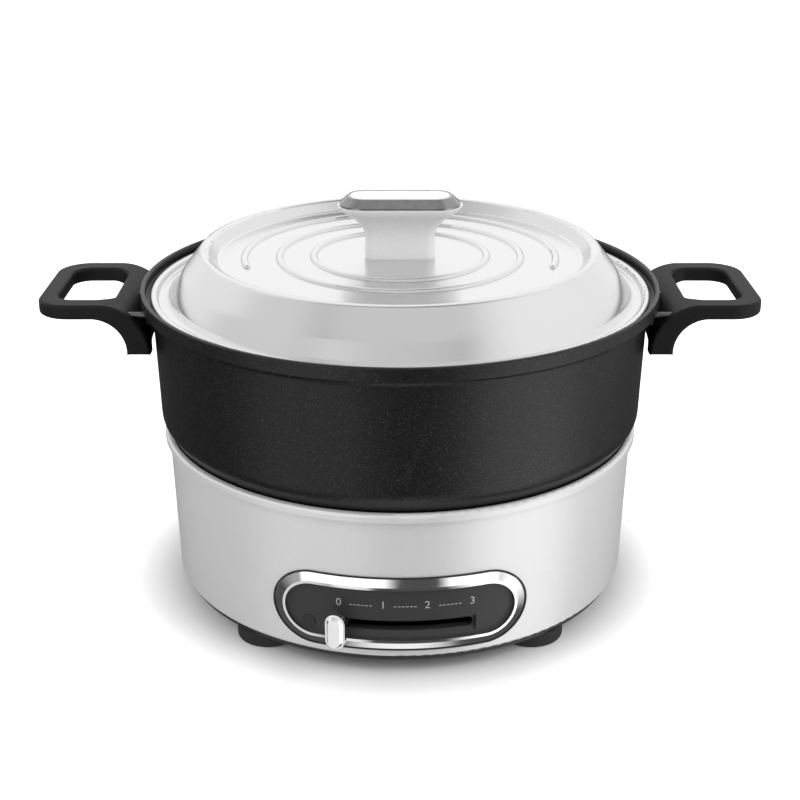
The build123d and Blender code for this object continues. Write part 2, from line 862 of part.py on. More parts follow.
with BuildPart() as control_panel:
    wall_band(-panel_thickness, 0)
    front_slot(panel_length, panel_width, mode=Mode.INTERSECT)
    with BuildSketch(section_plane(channel_left_turn)):
        with BuildLine():
            Polyline(
                (shell_radius(channel_top) + overrun, channel_top),
                (shell_radius(channel_top) - channel_depth, channel_top),
                (shell_radius(lever_middle) - channel_depth, lever_middle - slot_width / 2),
                (shell_radius(channel_foot), channel_foot),
                (shell_radius(channel_foot) + overrun, channel_foot),
                close=True,
            )
        make_face()
    revolve(axis=Axis.Z, revolution_arc=channel_arc, mode=Mode.SUBTRACT)
    with BuildSketch(Plane.XZ):
        with Locations(((slot_left + slot_right) / 2, lever_middle)):
            SlotOverall(slot_right - slot_left, slot_width)
    extrude(amount=base_bottom_radius + overrun, mode=Mode.SUBTRACT)
    lens_hole_depth = panel_thickness + 2 * overrun
    rod(lens_plane.offset(overrun), lens_radius + snug_gap, -lens_hole_depth, mode=Mode.SUBTRACT)
save(control_panel, "control_panel")

# The space behind the bezel's face, outside its skirt, and the pocket that takes the panel
with BuildPart() as bezel_surround:
    wall_band(-bezel_skirt_depth - overrun, snug_gap)
    front_slot(window_length - 2 * slip_gap, window_width - 2 * slip_gap)

with BuildPart() as panel_pocket:
    wall_band(-bezel_skirt_depth - overrun, snug_gap)
    front_slot(panel_length + 2 * slip_gap, panel_width + 2 * slip_gap, mode=Mode.INTERSECT)

with BuildPart() as panel_bezel:
    wall_band(-bezel_skirt_depth, bezel_proud)
    front_slot(bezel_length, bezel_width, mode=Mode.INTERSECT)
    bezel_front = panel_bezel.faces().filter_by(GeomType.CONE).sort_by(Axis.Y)[0]
    chamfer(bezel_front.edges(), length=bezel_bevel_width, length2=bezel_bevel_depth, reference=bezel_front)
    front_slot(opening_length, opening_width)
    add(bezel_surround.part, mode=Mode.SUBTRACT)
    add(panel_pocket.part, mode=Mode.SUBTRACT)
save(panel_bezel, "panel_bezel")


# Indicator lens and the lamp behind it

with BuildPart() as indicator_lens:
    rod(lens_plane.offset(lens_proud), lens_radius, -lens_proud - panel_thickness - slip_gap)
    lens_front = indicator_lens.faces().sort_by(Axis(lens_plane.origin, lens_plane.z_dir))[-1]
    fillet(lens_front.edges(), lens_edge_radius)
    lens_back = lens_plane.offset(-panel_thickness - slip_gap)
    rod(lens_back, lens_radius + lens_flange, -lens_flange_thickness)
save(indicator_lens, "indicator_lens")

with BuildPart() as indicator_lamp:
    rod(lens_back.offset(-lens_flange_thickness), led_radius, -led_length)
save(indicator_lamp, "indicator_lamp")


# Power inlet

blade_places = [(blade_spacing, -blade_offset), (0, blade_offset), (-blade_spacing, -blade_offset)]
blade_length = inlet_depth + blade_tail - blade_recess


def blade_sections(gap):
    """The three blades of the inlet, each grown by a gap."""
    with Locations(*blade_places):
        Rectangle(blade_width + 2 * gap, blade_height + 2 * gap)


with BuildPart() as inlet_housing:
    with BuildSketch(inlet_plane(inlet_depth)):
        RectangleRounded(inlet_length, inlet_width, inlet_corner_radius)
    extrude(amount=inlet_depth)
    with BuildSketch(inlet_plane(inlet_ear_inset + inlet_ear_thickness)):
        RectangleRounded(inlet_length + 2 * inlet_ear, inlet_width + 2 * inlet_ear, inlet_corner_radius)
    extrude(amount=inlet_ear_thickness)
    with BuildSketch(inlet_plane(socket_depth)):
        RectangleRounded(socket_length, socket_width, socket_corner_radius)
    extrude(amount=socket_depth + overrun, mode=Mode.SUBTRACT)
    with BuildSketch(inlet_plane(inlet_depth)):
        blade_sections(shaft_gap)
    extrude(amount=inlet_depth, mode=Mode.SUBTRACT)
    inlet_front = inlet_housing.faces().sort_by(Axis.Y)[-1]
    fillet(inlet_front.outer_wire().edges(), inlet_edge_radius)
save(inlet_housing, "inlet_housing")

with BuildPart() as inlet_pins:
    with BuildSketch(inlet_plane(inlet_depth + blade_tail)):
        blade_sections(0)
    extrude(amount=blade_length)
save(inlet_pins, "inlet_pins")


# Thermal fuse under the pan, in line with one end of the heating element, and its clip

element_left = around(element_end_turns[1], element_circle_radius)
element_right = around(element_end_turns[0], element_circle_radius)
wire_join = element_leg_end - element_pin_length / 2
fuse_start = element_right[0] + element_pin_radius + fuse_lead
fuse_end = fuse_start + fuse_length
clip_start = fuse_start + (fuse_length - fuse_clip_width) / 2
clip_rise = pan_floor - wire_join
clip_hole_radius = fuse_radius + snug_gap
clip_outer_radius = clip_hole_radius + fuse_clip_thickness


def fuse_plane(distance):
    """A plane across the fuse, at a distance to the right of the middle."""
    return Plane(origin=(distance, element_right[1], wire_join), x_dir=(0, 1, 0), z_dir=(1, 0, 0))


with BuildPart() as thermal_fuse:
    rod(fuse_plane(fuse_start), fuse_radius, fuse_length)
save(thermal_fuse, "thermal_fuse")

with BuildPart() as fuse_clip:
    with BuildSketch(fuse_plane(clip_start)):
        with Locations((0, clip_rise)):
            Rectangle(
                2 * (clip_outer_radius + fuse_clip_foot),
                fuse_clip_thickness,
                align=(Align.CENTER, Align.MAX),
            )
        Circle(clip_outer_radius)
        Rectangle(2 * clip_outer_radius, clip_rise, align=(Align.CENTER, Align.MIN))
        Circle(clip_hole_radius, mode=Mode.SUBTRACT)
        Rectangle(
            2 * clip_hole_radius,
            clip_rise,
            align=(Align.CENTER, Align.MIN),
            mode=Mode.SUBTRACT,
        )
    extrude(amount=fuse_clip_width)
save(fuse_clip, "fuse_clip")


# Wires: each leaves the piece that it starts on straight, and meets the piece that it ends on straight

blade_end = inlet_face - inlet_depth - blade_tail
blade_low = inlet_middle - blade_offset
blade_high = inlet_middle + blade_offset
tab_end = thermostat_length / 2 + tab_length
tab_left = tab_places[0][0]
tab_right = tab_places[1][0]
earth_post = post_places[1]
post_join = (post_bottom + pan_floor) / 2
wire_circle_radius = post_circle_radius + post_radius + wire_post_gap
wire_middle = (blade_low + tab_middle) / 2
slack_place = ((tab_left + fuse_end + wire_run) / 2, (tab_end + wire_run + element_right[1]) / 2)

wire_routes = {
    "wire_live": [
        (blade_spacing, blade_end, blade_low),
        (blade_spacing, blade_end - wire_run, blade_low),
        (*around(wire_turns[0], wire_circle_radius), wire_middle),
        (*around(wire_turns[1], wire_circle_radius), wire_middle),
        (tab_right, tab_end + 2 * wire_run, tab_middle),
        (tab_right, tab_end, tab_middle),
    ],
    "wire_neutral": [
        (-blade_spacing, blade_end, blade_low),
        (-blade_spacing, blade_end - wire_run, blade_low),
        (element_left[0], element_left[1] + 2 * wire_run, wire_join),
        (element_left[0], element_left[1] + element_pin_radius, wire_join),
    ],
    "wire_earth": [
        (0, blade_end, blade_high),
        (0, blade_end - wire_run, blade_high),
        (earth_post[0] - post_radius - 2 * wire_run, earth_post[1], post_join),
        (earth_post[0] - post_radius, earth_post[1], post_join),
    ],
    "wire_thermostat": [
        (tab_left, tab_end, tab_middle),
        (tab_left, tab_end + wire_run, tab_middle),
        (*slack_place, tab_middle - wire_slack),
        (fuse_end + wire_run, element_right[1], wire_join),
        (fuse_end, element_right[1], wire_join),
    ],
}

for wire_name, wire_points in wire_routes.items():
    with BuildPart() as wire:
        with BuildLine() as route:
            FilletPolyline(*wire_points, radius=wire_bend_radius)
        with BuildSketch(Plane(route.wire() @ 0, z_dir=route.wire() % 0)):
            Circle(wire_radius)
        sweep()
    save(wire, wire_name)

with BuildPart() as wire_element:
    rod(fuse_plane(fuse_start), wire_radius, -fuse_lead)
save(wire_element, "wire_element")


# Pot

inner_corner = pot_corner - pot_wall
inner_base_drop = (pot_corner_height - pot_bottom - pot_floor) * pot_taper_share


def side_plane(side, distance, place, height, facing):
    """A plane across the X axis, on one side of the pot, that faces outwards or inwards."""
    return Plane(origin=(side * distance, place, height), x_dir=(0, 1, 0), z_dir=(side * facing, 0, 0))


handle_sides = (1, -1)
pin_places = (-handle_pin_spread, handle_pin_spread)
pin_hole_radius = handle_pin_radius + snug_gap
pin_root = sqrt(rib_radius**2 - handle_pin_spread**2) - handle_pin_root
screw_root = rib_radius - handle_screw_bite
bend_x = handle_leg_inner + handle_top_bend
bend_z = handle_top - handle_top_bend
pin_face = bend_x - sqrt(handle_top_bend**2 - (handle_pin_height - bend_z) ** 2)
pin_end = pin_face + handle_pin_bite
screw_seat_x = grip_inner - handle_head_recess

with BuildPart() as pot:
    with BuildSketch(Plane.XZ):
        with BuildLine():
            FilletPolyline(
                (0, pot_bottom),
                (pot_base, pot_bottom),
                (pot_corner, pot_corner_height),
                (pot_top_radius, rim_bottom),
                (rim_radius, rim_bottom),
                (rim_radius, rim_top),
                (rim_inner_radius, rim_top),
                (rim_inner_radius, ledge_height),
                (pot_top_radius - pot_wall + ledge_step, ledge_height),
                (pot_top_radius - pot_wall, ledge_height - ledge_step_height),
                (inner_corner, pot_corner_height),
                (inner_corner - inner_base_drop, pot_bottom + pot_floor),
                (0, pot_bottom + pot_floor),
                radius=(
                    pot_base_radius,
                    pot_corner_radius,
                    rim_overhang * rim_under_share,
                    rim_edge_radius,
                    rim_edge_radius,
                    rim_edge_radius,
                    rim_edge_radius,
                    rim_edge_radius,
                    rim_cove_radius,
                    pot_corner_radius - pot_wall,
                    pot_base_radius,
                ),
            )
            Line((0, pot_bottom + pot_floor), (0, pot_bottom))
        make_face()
    revolve(axis=Axis.Z)
    for side in handle_sides:
        with BuildSketch(section_plane(90 * side - rib_angle / 2)):
            with BuildLine():
                Polyline(
                    (pot_top_radius - pot_wall / 2, rib_bottom),
                    (rib_radius, rib_bottom),
                    (rib_radius, rim_bottom + rim_edge_radius),
                    (pot_top_radius - pot_wall / 2, rim_bottom + rim_edge_radius),
                    close=True,
                )
            make_face()
        revolve(axis=Axis.Z, revolution_arc=rib_angle)
    for side in handle_sides:
        for place in pin_places:
            pin_hole = side_plane(side, pin_root, place, handle_pin_height, 1)
            rod(pin_hole, pin_hole_radius, handle_pin_root + overrun, mode=Mode.SUBTRACT)
        screw_hole = side_plane(side, screw_root - slip_gap, 0, handle_pin_height, 1)
        rod(screw_hole, screw_hole_radius, handle_screw_bite + overrun, mode=Mode.SUBTRACT)
save(pot, "pot")


# Pot handles with their pins and screws

under_x = handle_leg_outer + handle_under_bend
under_z = handle_top - handle_thickness - handle_under_bend
handle_underside = handle_top - handle_thickness

with BuildPart() as handle_right:
    with BuildSketch(Plane.XZ):
        with BuildLine():
            Line((handle_end, handle_top), (bend_x, handle_top))
            CenterArc((bend_x, bend_z), handle_top_bend, 90, 90)
            Polyline(
                (handle_leg_inner, bend_z),
                (handle_leg_inner, handle_leg_bottom),
                (handle_leg_outer, handle_leg_bottom),
                (handle_leg_outer, under_z),
            )
            CenterArc((under_x, under_z), handle_under_bend, 180, -90)
            Polyline(
                (under_x, handle_underside),
                (handle_end, handle_underside),
                (handle_end, handle_top),
            )
        make_face()
    extrude(amount=handle_width / 2, both=True)
    with BuildSketch() as handle_plan:
        with Locations(((handle_leg_inner + handle_end) / 2, 0)):
            Rectangle(handle_end - handle_leg_inner, handle_width)
        fillet(handle_plan.vertices().sort_by(Axis.X)[-2:], handle_corner_radius)
    extrude(amount=handle_top + overrun, mode=Mode.INTERSECT)
    with BuildSketch():
        with Locations(((grip_inner + grip_outer) / 2, 0)):
            RectangleRounded(grip_length, grip_width, grip_corner_radius)
    extrude(amount=handle_top + overrun, mode=Mode.SUBTRACT)
    handle_walls = handle_right.faces().filter_by(lambda face: abs(face.normal_at().Z) < upright_share)
    handle_edges = handle_walls.sort_by(Axis.X)[2:].edges().filter_by(Axis.Z, reverse=True)
    fillet(handle_edges, handle_edge_radius)
    drill((0, 0), handle_leg_bottom - overrun, pot_top_radius + handle_wall_gap, rim_top)
    drill((0, 0), rib_bottom - handle_rib_gap, rib_radius + handle_rib_gap, rim_top)
    for place in pin_places:
        pin_hole = side_plane(1, pin_root, place, handle_pin_height, 1)
        rod(pin_hole, pin_hole_radius, pin_end - pin_root + snug_gap, mode=Mode.SUBTRACT)
    screw_hole = side_plane(1, grip_inner + overrun, 0, handle_pin_height, -1)
    rod(screw_hole, screw_hole_radius, handle_thickness + handle_leg_thickness, mode=Mode.SUBTRACT)
    rod(screw_hole, screw_recess_radius, handle_head_recess + overrun, mode=Mode.SUBTRACT)
save(handle_right, "handle_right")

with BuildPart() as handle_left:
    mirror(handle_right.part, about=Plane.YZ)
save(handle_left, "handle_left")

with BuildPart() as handle_pins:
    for side in handle_sides:
        for place in pin_places:
            pin_start = side_plane(side, pin_root, place, handle_pin_height, 1)
            rod(pin_start, handle_pin_radius, pin_end - pin_root)
save(handle_pins, "handle_pins")

with BuildPart() as handle_screws:
    for side in handle_sides:
        screw(side_plane(side, screw_seat_x, 0, handle_pin_height, -1), screw_seat_x - screw_root)
save(handle_screws, "handle_screws")


# Lid

lid_screw_places = [(-lid_screw_spacing / 2, 0), (lid_screw_spacing / 2, 0)]
arc_start = 180 - arc_ring_angle / 2
bead_inner = lid_radius - bead_width


def raised_ring(turn, radius, arc, axis=Axis.Z, inner_width=ring_half_width):
    """A raised ring on the lid's floor: its rounded section, turned through an arc."""
    arc_radius = (ring_half_width**2 + ring_rise**2) / (2 * ring_rise)
    inside = radius - inner_width
    outside = radius + ring_half_width
    with BuildSketch(section_plane(turn)) as section:
        with BuildLine():
            RadiusArc((outside, lid_floor), (radius, lid_floor + ring_rise), -arc_radius)
            if inner_width > 0:
                RadiusArc((radius, lid_floor + ring_rise), (inside, lid_floor), -arc_radius)
            else:
                Line((radius, lid_floor + ring_rise), (inside, lid_floor))
            Polyline(
                (inside, lid_floor),
                (inside, lid_floor - lid_sheet / 2),
                (outside, lid_floor - lid_sheet / 2),
                (outside, lid_floor),
            )
        make_face()
    revolve(section.sketch, axis=axis, revolution_arc=arc)


with BuildPart() as lid:
    with BuildSketch(Plane.XZ):
        with BuildLine():
            FilletPolyline(
                (lid_radius, lid_edge_height),
                (lid_radius, bead_top),
                (bead_inner, bead_top),
                (bead_inner - bead_slope, flange_top),
                (lid_wall_radius, flange_top),
                (lid_wall_radius - knee_inset, flange_top + knee_height),
                (crest_outer_radius, lid_crest),
                (crest_outer_radius - crest_width, lid_crest),
                (lid_floor_radius, lid_floor),
                (0, lid_floor),
                radius=(
                    bead_bend_radius,
                    bead_bend_radius,
                    lid_sheet,
                    foot_bend_radius,
                    knee_bend_radius,
                    shoulder_bend_radius,
                    crest_bend_radius,
                    floor_bend_radius,
                ),
            )
            offset(amount=lid_sheet, side=Side.LEFT)
        make_face()
    revolve(axis=Axis.Z)
    for ring_radius_share in ring_radius_shares:
        raised_ring(0, lid_floor_radius * ring_radius_share, 360)
    raised_ring(arc_start, arc_ring_radius, arc_ring_angle)
    for end_turn in (arc_start, arc_start + arc_ring_angle):
        end_axis = Axis((*around(end_turn, arc_ring_radius), 0), (0, 0, 1))
        raised_ring(end_turn, arc_ring_radius, 360, axis=end_axis, inner_width=0)
    for screw_place in lid_screw_places:
        drill(screw_place, lid_floor - lid_sheet, screw_hole_radius, lid_sheet + overrun)
save(lid, "lid")


# Lid handle

trim_length = stem_top_length - 2 * trim_inset
trim_width = stem_top_width - 2 * trim_inset
trim_corner = stem_top_corner - trim_inset
trim_top_length = trim_length - 2 * trim_bevel_length
trim_top_width = trim_width - 2 * trim_bevel_width
trim_top_corner = trim_corner - trim_bevel_width
pocket_length = trim_top_length - 2 * trim_edge
pocket_width = trim_top_width - 2 * trim_edge
pocket_corner = trim_top_corner - trim_edge
trim_top = stem_top + trim_height
pocket_bottom = trim_top - trim_pocket_depth

with BuildPart() as lid_handle_stem:
    for level_share, spread_share in zip(stem_level_shares, stem_spread_shares):
        with BuildSketch(Plane.XY.offset(lid_floor + stem_height * level_share)):
            RectangleRounded(
                stem_waist_length + (stem_top_length - stem_waist_length) * spread_share,
                stem_waist_width + (stem_top_width - stem_waist_width) * spread_share,
                stem_waist_corner + (stem_top_corner - stem_waist_corner) * spread_share,
            )
    loft()
    for screw_place in lid_screw_places:
        drill(screw_place, lid_floor, screw_hole_radius, lid_screw_length + slip_gap)
save(lid_handle_stem, "lid_handle_stem")

with BuildPart() as lid_handle_trim:
    with BuildSketch(Plane.XY.offset(stem_top)):
        RectangleRounded(trim_length, trim_width, trim_corner)
    extrude(amount=trim_rim_height)
    with BuildSketch(Plane.XY.offset(stem_top + trim_rim_height)):
        RectangleRounded(trim_length, trim_width, trim_corner)
    with BuildSketch(Plane.XY.offset(trim_top)):
        RectangleRounded(trim_top_length, trim_top_width, trim_top_corner)
    loft(ruled=True)
    with BuildSketch(Plane.XY.offset(pocket_bottom)):
        RectangleRounded(pocket_length, pocket_width, pocket_corner)
    extrude(amount=trim_pocket_depth + overrun, mode=Mode.SUBTRACT)
save(lid_handle_trim, "lid_handle_trim")

with BuildPart() as lid_handle_cap:
    with BuildSketch(Plane.XY.offset(pocket_bottom)):
        RectangleRounded(pocket_length - 2 * snug_gap, pocket_width - 2 * snug_gap, pocket_corner - snug_gap)
    extrude(amount=trim_pocket_depth - cap_sink)
save(lid_handle_cap, "lid_handle_cap")

with BuildPart() as lid_screws:
    for screw_place in lid_screw_places:
        screw_seat = lid_floor - lid_sheet - washer_thickness
        screw(Plane((*screw_place, screw_seat)), washer_thickness + lid_sheet + lid_screw_length)
save(lid_screws, "lid_screws")

with BuildPart() as lid_washers:
    with BuildSketch(Plane.XY.offset(lid_floor - lid_sheet)):
        for screw_place in lid_screw_places:
            with Locations(screw_place):
                Circle(washer_radius)
                Circle(screw_hole_radius, mode=Mode.SUBTRACT)
    extrude(amount=-washer_thickness)
save(lid_washers, "lid_washers")
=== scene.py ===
# %% [markdown]
# A multicooker on a white table.
#
# The cooker has three things that a cook handles: a heater base, a black pot that lifts out of it and a
# silver lid that lifts off. All their pieces are already solid models at their real size, so this lesson is
# about the looks: the camera, the light, the finish of each surface and the print on the control panel.

# %% Load the solid model
import math

import bmesh
import bpy
from mathutils import Matrix, Vector


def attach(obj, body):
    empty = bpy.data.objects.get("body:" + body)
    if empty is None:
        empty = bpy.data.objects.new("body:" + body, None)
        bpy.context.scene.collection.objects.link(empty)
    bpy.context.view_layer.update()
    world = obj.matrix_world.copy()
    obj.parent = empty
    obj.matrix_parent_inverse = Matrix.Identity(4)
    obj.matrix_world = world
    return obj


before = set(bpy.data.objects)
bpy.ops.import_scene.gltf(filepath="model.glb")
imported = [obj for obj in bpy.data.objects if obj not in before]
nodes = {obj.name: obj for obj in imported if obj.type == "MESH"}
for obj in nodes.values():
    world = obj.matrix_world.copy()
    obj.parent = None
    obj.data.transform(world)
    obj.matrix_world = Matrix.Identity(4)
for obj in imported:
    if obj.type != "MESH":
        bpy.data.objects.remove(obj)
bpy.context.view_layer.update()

scene = bpy.context.scene

# %% [markdown]
# The camera.
#
# The photograph looks at the cooker from the front and from above, with a lens that is a little long. A
# camera could be placed by eye, but the ellipses of the rims tell more: their width and height give the tilt
# and the distance. The numbers below came from such a fit, and they come first, because every later choice
# is judged from there.

# %% Camera
camera_distance = 0.7919
camera_height = 0.4248
camera_tilt = 22.06
focal_length = 65.8
sensor_width = 36.0

camera_data = bpy.data.cameras.new("photo_camera")
camera_data.sensor_width = sensor_width
camera_data.lens = focal_length
camera = bpy.data.objects.new("photo_camera", camera_data)
camera.location = (0, -camera_distance, camera_height)
camera.rotation_euler = (math.radians(90 - camera_tilt), 0, 0)
scene.collection.objects.link(camera)
scene.camera = camera
scene.view_settings.view_transform = "Standard"
print("camera at", tuple(round(value, 3) for value in camera.location))

# %% [markdown]
# The table.
#
# The cooker stands on white and casts a short soft shadow. A floor that is only white paint would come out
# grey where little light falls on it. So the floor also glows for the camera, and ends up as white as the
# world behind it. Close to the cooker the glow fades, so a band round the base stays darker than the open
# floor whatever the lamps do: a painted shade that deepens the real shadow there.

# %% Floor
floor_size = 12.0

mesh = bpy.data.meshes.new("floor")
shape = bmesh.new()
bmesh.ops.create_grid(shape, x_segments=1, y_segments=1, size=floor_size / 2)
shape.to_mesh(mesh)
shape.free()
floor = bpy.data.objects.new("floor", mesh)
scene.collection.objects.link(floor)
floor.visible_glossy = False
print("floor", floor_size, "m wide")

# %% Floor paint
floor_colour = (0.86, 0.86, 0.86, 1)
floor_roughness = 0.9
floor_specular = 0.1

floor_finish = bpy.data.materials.new("white_floor")
floor_finish.use_nodes = True
mesh.materials.append(floor_finish)
tree = floor_finish.node_tree
shader = tree.nodes["Principled BSDF"]
shader.inputs["Base Color"].default_value = floor_colour
shader.inputs["Roughness"].default_value = floor_roughness
shader.inputs["Specular IOR Level"].default_value = floor_specular
print("floor colour", floor_colour[:3])

# %% Floor glow
near_glow = 0.02
far_glow = 0.70
glow_start = 0.13
glow_end = 0.185

place = tree.nodes.new("ShaderNodeTexCoord")
reach = tree.nodes.new("ShaderNodeVectorMath")
reach.operation = "LENGTH"
tree.links.new(place.outputs["Object"], reach.inputs[0])
# Painted shade: the glow falls to near_glow close to the base, which draws a darker ring on the floor round
# it.
painted_shade_fade = tree.nodes.new("ShaderNodeMapRange")
painted_shade_fade.interpolation_type = "SMOOTHSTEP"
painted_shade_fade.inputs["From Min"].default_value = glow_start
painted_shade_fade.inputs["From Max"].default_value = glow_end
painted_shade_fade.inputs["To Min"].default_value = near_glow
painted_shade_fade.inputs["To Max"].default_value = far_glow
tree.links.new(reach.outputs["Value"], painted_shade_fade.inputs["Value"])
light_path = tree.nodes.new("ShaderNodeLightPath")
strength = tree.nodes.new("ShaderNodeMath")
strength.operation = "MULTIPLY"
tree.links.new(light_path.outputs["Is Camera Ray"], strength.inputs[0])
tree.links.new(painted_shade_fade.outputs["Result"], strength.inputs[1])
glow = tree.nodes.new("ShaderNodeEmission")
tree.links.new(strength.outputs[0], glow.inputs["Strength"])
both = tree.nodes.new("ShaderNodeAddShader")
tree.links.new(shader.outputs[0], both.inputs[0])
tree.links.new(glow.outputs[0], both.inputs[1])
tree.links.new(both.outputs[0], tree.nodes["Material Output"].inputs["Surface"])
print("floor glow from", near_glow, "to", far_glow)

# %% [markdown]
# The world.
#
# The camera should see plain white behind the cooker, but that much light from all sides would wash it out.
# Light Path tells the rays apart: rays from the camera, from a mirror or through glass get white, and the
# rays that light matt surfaces get a dimmer fill. The fill is a dome that grows from the horizon to the top,
# so that little of it creeps under the base.

# %% World
fill_horizon = 0.12
fill_top = 0.62
fill_rise = (0.0, 0.7)
white_level = 1.0

world = bpy.data.worlds.new("studio")
scene.world = world
world.use_nodes = True
tree = world.node_tree
background = tree.nodes["Background"]
background.inputs["Color"].default_value = (1, 1, 1, 1)
heading = tree.nodes.new("ShaderNodeTexCoord")
split = tree.nodes.new("ShaderNodeSeparateXYZ")
tree.links.new(heading.outputs["Generated"], split.inputs["Vector"])
dome = tree.nodes.new("ShaderNodeMapRange")
dome.inputs["From Min"].default_value = fill_rise[0]
dome.inputs["From Max"].default_value = fill_rise[1]
dome.inputs["To Min"].default_value = fill_horizon
dome.inputs["To Max"].default_value = fill_top
tree.links.new(split.outputs["Z"], dome.inputs["Value"])
print("world fill from", fill_horizon, "to", fill_top)

# %% White for the camera, mirrors and glass
light_path = tree.nodes.new("ShaderNodeLightPath")
mirrored = tree.nodes.new("ShaderNodeMath")
mirrored.operation = "MAXIMUM"
tree.links.new(light_path.outputs["Is Glossy Ray"], mirrored.inputs[0])
tree.links.new(light_path.outputs["Is Transmission Ray"], mirrored.inputs[1])
seen = tree.nodes.new("ShaderNodeMath")
seen.operation = "MAXIMUM"
tree.links.new(light_path.outputs["Is Camera Ray"], seen.inputs[0])
tree.links.new(mirrored.outputs[0], seen.inputs[1])
choose = tree.nodes.new("ShaderNodeMix")
choose.data_type = "FLOAT"
choose.inputs["B"].default_value = white_level
tree.links.new(dome.outputs["Result"], choose.inputs["A"])
tree.links.new(seen.outputs[0], choose.inputs["Factor"])
tree.links.new(choose.outputs[0], background.inputs["Strength"])
print("white level", white_level)

# %% [markdown]
# What the metal mirrors.
#
# Chrome and black coating show the room more than their own colour. In a studio that room is dim, with white
# panels where the photographer wants a highlight. Real panels would be planes hung round the cooker, but
# their hard edges show in a smooth lid. Here the room is one large ball that only mirror rays can see, and
# each panel is a soft round patch painted on it.

# %% Mirror room
room_radius = 3.0
room_segments = 48
room_rings = 24

mesh = bpy.data.meshes.new("mirror_room")
shape = bmesh.new()
bmesh.ops.create_uvsphere(shape, u_segments=room_segments, v_segments=room_rings, radius=room_radius)
shape.to_mesh(mesh)
shape.free()
room = bpy.data.objects.new("mirror_room", mesh)
scene.collection.objects.link(room)
room.visible_camera = False
room.visible_diffuse = False
room.visible_transmission = False
room.visible_shadow = False
print("mirror room", 2 * room_radius, "m across")

# %% [markdown]
# The panels.
#
# Each panel is given by its direction from the cooker, a turn from the front towards the right and a rise
# above the horizon, by the angles where it starts and ends to fade, and by its brightness. Where panels
# overlap, the brighter one counts, so a Maximum node joins them. Moving one panel at a time and looking at
# the lid, the bezel and the pot shows which highlight belongs to which.

# %% Directions round the cooker


def direction(turn, rise):
    """Unit vector at a turn from the front towards the right and a rise above the horizon, in degrees."""
    turn = math.radians(turn)
    rise = math.radians(rise)
    return Vector((math.cos(rise) * math.sin(turn), -math.cos(rise) * math.cos(turn), math.sin(rise)))


print("front is", tuple(round(value, 3) for value in direction(0, 0)))

# %% Panels
room_dim = 0.08
panels = (
    # name, turn, rise, full to, gone at, level
    ("right", 88, 26, 18, 64, 1.12),
    ("left", -88, 32, 18, 54, 0.82),
    ("back", 180, 34, 22, 33, 1.22),
    ("back_right", 138, 27, 26, 42, 1.10),
    ("back_left", -138, 33, 28, 50, 1.06),
    ("front_high", 0, 60, 18, 48, 0.76),
    ("front_right", 40, 10, 15, 24, 1.40),
    ("front_left", -32, 10, 22, 32, 1.40),
    ("low_right", 60, -25, 9, 36, 1.75),
    ("low_left", -54, -25, 9, 24, 0.78),
    ("low_knob", -24, -27, 6, 12, 0.96),
    ("table", 0, -62, 10, 26, 1.10),
)

room_finish = bpy.data.materials.new("room_panels")
room_finish.use_nodes = True
mesh.materials.append(room_finish)
tree = room_finish.node_tree
tree.nodes.remove(tree.nodes["Principled BSDF"])
place = tree.nodes.new("ShaderNodeTexCoord")
heading = tree.nodes.new("ShaderNodeVectorMath")
heading.operation = "NORMALIZE"
tree.links.new(place.outputs["Object"], heading.inputs[0])
dim = tree.nodes.new("ShaderNodeValue")
dim.outputs[0].default_value = room_dim
brightness = dim.outputs[0]
for panel_name, turn, rise, inner, outer, level in panels:
    facing = tree.nodes.new("ShaderNodeVectorMath")
    facing.operation = "DOT_PRODUCT"
    facing.inputs[1].default_value = direction(turn, rise)
    tree.links.new(heading.outputs["Vector"], facing.inputs[0])
    patch = tree.nodes.new("ShaderNodeMapRange")
    patch.label = panel_name
    patch.interpolation_type = "SMOOTHSTEP"
    patch.inputs["From Min"].default_value = math.cos(math.radians(outer))
    patch.inputs["From Max"].default_value = math.cos(math.radians(inner))
    patch.inputs["To Max"].default_value = level
    tree.links.new(facing.outputs["Value"], patch.inputs["Value"])
    larger = tree.nodes.new("ShaderNodeMath")
    larger.operation = "MAXIMUM"
    tree.links.new(brightness, larger.inputs[0])
    tree.links.new(patch.outputs["Result"], larger.inputs[1])
    brightness = larger.outputs[0]
light = tree.nodes.new("ShaderNodeEmission")
tree.links.new(brightness, light.inputs["Strength"])
tree.links.new(light.outputs[0], tree.nodes["Material Output"].inputs["Surface"])
print("mirror room with", len(panels), "panels")

# %% [markdown]
# The lamps.
#
# Two large soft boxes stand to the left and right of the cooker and look down on it. The right one is
# brighter, which rounds the pot and the base. A third box hangs above the back and lights the lid. They
# light the matt part of each surface and stay out of the mirrors, because what metal mirrors was made in the
# cells before.

# %% Lamps
aim = Vector((0, 0, 0.11))


def soft_box(name, turn, rise, distance, width, height, power):
    """A rectangular area lamp, at a turn from the front towards the right, that looks at the cooker."""
    place = aim + distance * direction(turn, rise)
    lamp = bpy.data.lights.new(name, "AREA")
    lamp.shape = "RECTANGLE"
    lamp.size = width
    lamp.size_y = height
    lamp.energy = power
    holder = bpy.data.objects.new(name, lamp)
    holder.location = place
    holder.rotation_euler = (aim - place).to_track_quat("-Z", "Y").to_euler()
    holder.visible_glossy = False
    scene.collection.objects.link(holder)
    print(name, "at", tuple(round(value, 2) for value in place))


soft_box("box_right", turn=64, rise=32, distance=1.6, width=1.0, height=1.2, power=13.2)
soft_box("box_left", turn=-68, rise=32, distance=1.6, width=1.0, height=1.2, power=9.5)
soft_box("box_above", turn=180, rise=78, distance=1.3, width=1.2, height=1.0, power=4.0)

# %% [markdown]
# Helpers for finishes.
#
# Every finish starts from one Principled shader. Its patterns read Object coordinates, which are metres on
# these pieces, so a grain of 0.4 mm is simply a noise with a scale of 1 / 0.0004. The helpers below do one
# thing each: start a finish, make a grain, and let the grain change the colour, the gloss or the relief.

# %% Start a finish and make a grain


